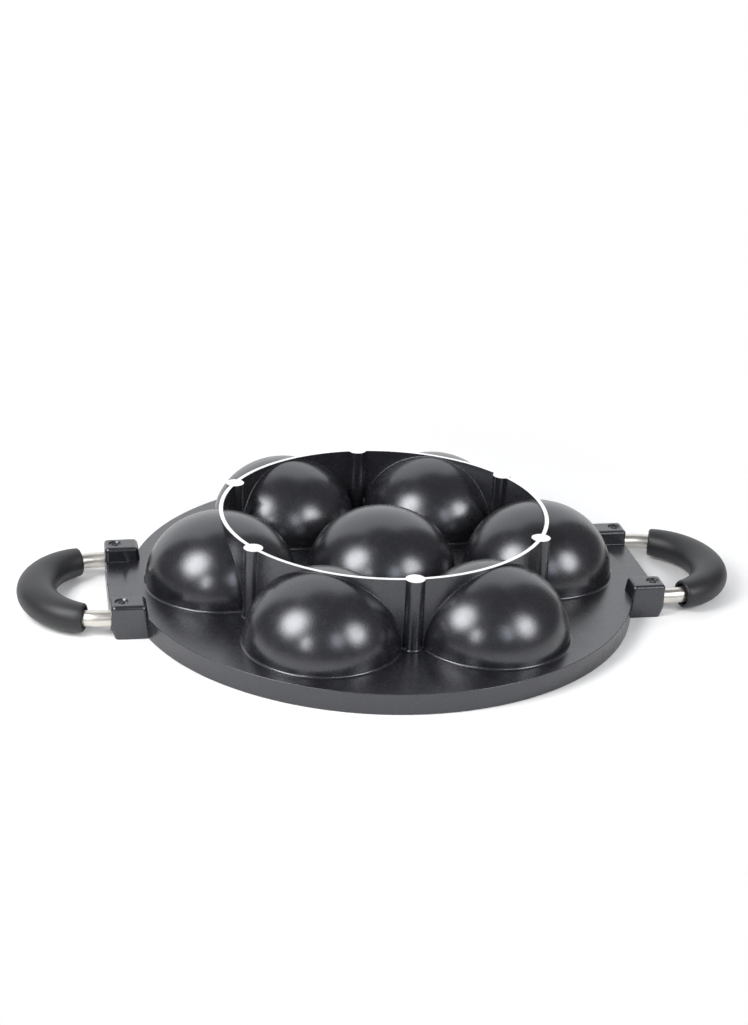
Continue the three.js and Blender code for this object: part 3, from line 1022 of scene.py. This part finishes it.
def noise(tree, scale, detail=2, stretch=(1, 1, 1)):
    """A noise pattern fixed to the object. The scale is in features a metre."""
    place = tree.nodes.new("ShaderNodeTexCoord")
    mapping = tree.nodes.new("ShaderNodeMapping")
    mapping.inputs["Scale"].default_value = stretch
    texture = tree.nodes.new("ShaderNodeTexNoise")
    texture.inputs["Scale"].default_value = scale
    texture.inputs["Detail"].default_value = detail
    tree.links.new(place.outputs["Object"], mapping.inputs["Vector"])
    tree.links.new(mapping.outputs["Vector"], texture.inputs["Vector"])
    return texture.outputs["Fac"]


NOISE_RANGE = (0.3, 0.7)  # nearly all of a noise pattern lies between these
MIX_A, MIX_B, MIX_RESULT = 6, 7, 2  # a Mix node's colour sockets


def map_range(tree, value, *limits, kind="LINEAR"):
    """Maps a value from one range to another. The limits are both of one, then of the other."""
    node = tree.nodes.new("ShaderNodeMapRange")
    node.interpolation_type = kind
    for name, limit in zip(("From Min", "From Max", "To Min", "To Max"), limits):
        node.inputs[name].default_value = limit
    tree.links.new(value, node.inputs["Value"])
    return node.outputs["Result"]


def colours(tree, shader, pattern, first, second):
    """Colours the surface by a pattern, from one colour to another."""
    mix = tree.nodes.new("ShaderNodeMix")
    mix.data_type = "RGBA"
    mix.inputs[MIX_A].default_value = (*first, 1)
    mix.inputs[MIX_B].default_value = (*second, 1)
    tree.links.new(pattern, mix.inputs["Factor"])
    tree.links.new(mix.outputs[MIX_RESULT], shader.inputs["Base Color"])


def roughness(tree, shader, pattern, low, high):
    """Makes the surface rougher and smoother by a pattern."""
    spread = map_range(tree, pattern, *NOISE_RANGE, low, high)
    tree.links.new(spread, shader.inputs["Roughness"])


def bump(tree, shader, height, depth_mm):
    """Raises the surface by a pattern, by up to a depth in millimetres."""
    node = tree.nodes.new("ShaderNodeBump")
    node.inputs["Distance"].default_value = depth_mm * MM
    tree.links.new(height, node.inputs["Height"])
    tree.links.new(node.outputs["Normal"], shader.inputs["Normal"])


def black_coating():
    """Sprayed non-stick coating: satin black, with a faint orange peel and cloudy gloss."""
    material, tree, shader = new_material("black_coating")
    clouds = map_range(tree, noise(tree, scale=70, detail=3), *NOISE_RANGE, 0, 1)
    colours(tree, shader, clouds, (0.0088, 0.0089, 0.0112), (0.0122, 0.0123, 0.015))
    roughness(tree, shader, noise(tree, scale=240, detail=3), 0.24, 0.29)
    shader.inputs["Specular IOR Level"].default_value = 1
    shader.inputs["Specular Tint"].default_value = (0.94, 0.95, 1, 1)
    bump(tree, shader, noise(tree, scale=800), depth_mm=0.003)
    return material


def machined_aluminium():
    """The foot's machined face: bright, with a fine uneven grain."""
    material, tree, shader = new_material("machined_aluminium", 1)
    grain = noise(tree, scale=500, detail=3)
    colours(tree, shader, grain, (0.82, 0.82, 0.83), (0.93, 0.93, 0.93))
    roughness(tree, shader, noise(tree, scale=1500), 0.25, 0.4)
    bump(tree, shader, noise(tree, scale=2500), depth_mm=0.003)
    return material


def brushed_steel():
    """Drawn stainless rod: satin, with fine marks along its length near the lugs."""
    material, tree, shader = new_material("brushed_steel", 1)
    marks = noise(tree, scale=400, detail=4, stretch=(0.15, 3, 3))
    tone = noise(tree, scale=160, detail=3)
    colours(tree, shader, tone, (0.6, 0.575, 0.53), (0.72, 0.69, 0.645))
    roughness(tree, shader, marks, 0.3, 0.42)
    bump(tree, shader, marks, depth_mm=0.004)
    return material


def moulded_plastic():
    """Matt grip plastic with a fine spark-eroded grain."""
    material, tree, shader = new_material("moulded_plastic")
    grain = noise(tree, scale=2200)
    clouds = map_range(tree, noise(tree, scale=90, detail=3), *NOISE_RANGE, 0, 1)
    colours(tree, shader, clouds, (0.0115, 0.0115, 0.0128), (0.0165, 0.0165, 0.0182))
    roughness(tree, shader, grain, 0.42, 0.52)
    shader.inputs["Specular Tint"].default_value = (0.95, 0.96, 1, 1)
    bump(tree, shader, grain, depth_mm=0.012)
    return material


def pin_metal():
    """A pin's end: steel under a thin, uneven overspray of the coating."""
    material, tree, shader = new_material("pin_metal", 1)
    overspray = map_range(tree, noise(tree, scale=900, detail=3), *NOISE_RANGE, 0, 1)
    colours(tree, shader, overspray, (0.02, 0.02, 0.02), (0.14, 0.14, 0.14))
    roughness(tree, shader, noise(tree, scale=1800), 0.3, 0.5)
    return material


# ---- Stage, in metres and degrees ----

FLOOR_HALF = 4
FLOOR_Z = -0.0002  # just below the rim's face
FLOOR_FADE = (0.14, 0.27)  # from the object's middle
FLOOR_COLOUR = (0.93, 0.93, 0.93, 1)

BACKDROP_SIDE = (43, 49)  # to each side of straight behind it fades out over this range
BACKDROP_TOP = (60, 72)  # and above the horizon over this one
BACKDROP_LEVEL = 1.32
ROOM_LEVEL = 0.17
ROOM_COLOUR = (0.97, 0.98, 1, 1)
WHITE = (1, 1, 1, 1)

CORE_NEARER = 0.98  # a lamp's bright core hangs just in front of it

# The photograph's camera looks from the left of the front, and its aim is a little off the middle
CAMERA_AZIMUTH = -11.32
CAMERA_ELEVATION = 25.538
CAMERA_DISTANCE = 0.9129
CAMERA_YAW, CAMERA_PITCH, CAMERA_ROLL = -0.301, -2.409, -2.685
CAMERA_LENS = 66.4  # millimetres
CAMERA_SENSOR = 36


def math_node(tree, operation, *values):
    """A node that works on numbers and on outputs of other nodes."""
    node = tree.nodes.new("ShaderNodeMath")
    node.operation = operation
    for socket, value in zip(node.inputs, values):
        if isinstance(value, (int, float)):
            socket.default_value = value
        else:
            tree.links.new(value, socket)
    return node.outputs[0]


def mix_shaders(tree, share, first, second, surface):
    """Shows the second shader by its share, and otherwise the first one."""
    mix = tree.nodes.new("ShaderNodeMixShader")
    tree.links.new(share, mix.inputs[0])
    tree.links.new(first.outputs[0], mix.inputs[1])
    tree.links.new(second.outputs[0], mix.inputs[2])
    tree.links.new(mix.outputs[0], surface)


def fade_to_white(tree, shader):
    """Away from the object the floor passes into the white background, to all but diffuse rays."""
    place = tree.nodes.new("ShaderNodeTexCoord")
    away = tree.nodes.new("ShaderNodeVectorMath")
    away.operation = "LENGTH"
    tree.links.new(place.outputs["Object"], away.inputs[0])
    far = map_range(tree, away.outputs["Value"], *FLOOR_FADE, 0, 1, kind="SMOOTHSTEP")
    path = tree.nodes.new("ShaderNodeLightPath")
    seen = path.outputs["Is Camera Ray"]
    for ray in ("Is Glossy Ray", "Is Transmission Ray"):
        seen = math_node(tree, "MAXIMUM", seen, path.outputs[ray])
    white = tree.nodes.new("ShaderNodeEmission")
    white.inputs["Color"].default_value = WHITE
    share = math_node(tree, "MULTIPLY", seen, far)
    mix_shaders(tree, share, shader, white, tree.nodes["Material Output"].inputs["Surface"])


def floor():
    """A large pale floor that keeps the object's shadow."""
    mesh = bpy.data.meshes.new("floor")
    shape = bmesh.new()
    bmesh.ops.create_grid(shape, x_segments=8, y_segments=8, size=FLOOR_HALF)
    shape.to_mesh(mesh)
    shape.free()
    material, tree, shader = new_material("floor")
    shader.inputs["Base Color"].default_value = FLOOR_COLOUR
    shader.inputs["Roughness"].default_value = 1
    shader.inputs["Specular IOR Level"].default_value = 0
    fade_to_white(tree, shader)
    mesh.materials.append(material)
    plane = bpy.data.objects.new("floor", mesh)
    plane.location.z = FLOOR_Z
    bpy.context.scene.collection.objects.link(plane)
    plane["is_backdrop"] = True


def world():
    """White for the camera. Around the object it is a pale backdrop behind, and a dim room."""
    surroundings = bpy.data.worlds.new("studio")
    surroundings.use_nodes = True
    bpy.context.scene.world = surroundings
    tree = surroundings.node_tree
    tree.nodes.clear()
    place = tree.nodes.new("ShaderNodeTexCoord")
    split = tree.nodes.new("ShaderNodeSeparateXYZ")
    tree.links.new(place.outputs["Generated"], split.inputs["Vector"])
    x, y, z = split.outputs
    turn = math_node(tree, "ABSOLUTE", math_node(tree, "ARCTAN2", x, y))
    side, top = np.radians(BACKDROP_SIDE), np.sin(np.radians(BACKDROP_TOP))
    across = map_range(tree, turn, *side, 1, 0, kind="SMOOTHSTEP")
    up = map_range(tree, z, *top, 1, 0, kind="SMOOTHSTEP")
    backdrop = math_node(tree, "MULTIPLY", across, up)
    level = math_node(tree, "MULTIPLY_ADD", backdrop, BACKDROP_LEVEL - ROOM_LEVEL, ROOM_LEVEL)
    room = tree.nodes.new("ShaderNodeBackground")
    room.inputs["Color"].default_value = ROOM_COLOUR
    tree.links.new(level, room.inputs["Strength"])
    white = tree.nodes.new("ShaderNodeBackground")
    white.inputs["Color"].default_value = WHITE
    seen = tree.nodes.new("ShaderNodeLightPath").outputs["Is Camera Ray"]
    output = tree.nodes.new("ShaderNodeOutputWorld")
    mix_shaders(tree, seen, room, white, output.inputs["Surface"])


def softbox(name, place, size, radiance, colour=(1, 1, 1)):
    """An oval lamp that faces the object. Its power follows from how bright its face looks."""
    lamp = bpy.data.lights.new(name, "AREA")
    lamp.shape = "ELLIPSE"
    lamp.size, lamp.size_y = size
    lamp.energy = radiance * math.pi * (math.pi / 4) * size[0] * size[1]
    lamp.color = colour
    body = bpy.data.objects.new(name, lamp)
    body.location = place
    body.rotation_mode = "QUATERNION"
    body.rotation_quaternion = Vector(place).to_track_quat("Z", "Y")
    body.visible_camera = False
    bpy.context.scene.collection.objects.link(body)


def lamps():
    """Two large softboxes, each brighter in its middle, a small one and a cool window."""
    key, fill = Vector((-0.521, -0.236, 0.541)), Vector((0.992, -0.96, 0.875))
    softbox("key_left", key, (0.52, 0.58), radiance=4)
    softbox("key_left_core", CORE_NEARER * key, (0.34, 0.38), radiance=7.8)
    softbox("fill_right", fill, (0.85, 0.95), radiance=3.3)
    softbox("fill_right_core", CORE_NEARER * fill, (0.58, 0.68), radiance=6.3)
    softbox("low_left", (-0.61, -0.902, 0.51), (0.22, 0.4), radiance=10)
    cool = (0.87, 0.91, 1)
    softbox("front_window", (0.5, -2.1, 1.33), (0.65, 1.0), radiance=3.9, colour=cool)


def camera():
    """The photograph's viewpoint."""
    azimuth, elevation = math.radians(CAMERA_AZIMUTH), math.radians(CAMERA_ELEVATION)
    right = Vector((math.cos(azimuth), math.sin(azimuth), 0))
    back = Vector((
        math.sin(azimuth) * math.cos(elevation),
        -math.cos(azimuth) * math.cos(elevation),
        math.sin(elevation),
    ))
    into_view = Matrix((right, back.cross(right), back))
    aim = Matrix.Identity(3)
    for degrees, axis in ((CAMERA_ROLL, "Z"), (CAMERA_PITCH, "X"), (CAMERA_YAW, "Y")):
        aim = aim @ Matrix.Rotation(math.radians(degrees), 3, axis)
    data = bpy.data.cameras.new("camera")
    data.lens = CAMERA_LENS
    data.sensor_width = CAMERA_SENSOR
    data.clip_start, data.clip_end = 0.01, 50
    body = bpy.data.objects.new("camera", data)
    body.matrix_world = (Matrix.Translation(CAMERA_DISTANCE * back)
                         @ (aim @ into_view).transposed().to_4x4())
    bpy.context.scene.collection.objects.link(body)
    bpy.context.scene.camera = body


def write_sizes():
    """Lists the CAD box and the visual model's box; the result is not kept."""
    sizes = {"cad": CAD_BOX, "visual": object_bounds()}
    {name: [list(corner) for corner in box] for name, box in sizes.items()}


bpy.context.scene.view_settings.view_transform = "Standard"
camera()
world()
lamps()
floor()
pan_casting(black_coating(), machined_aluminium())
handles(brushed_steel(), moulded_plastic(), pin_metal())
write_sizes()
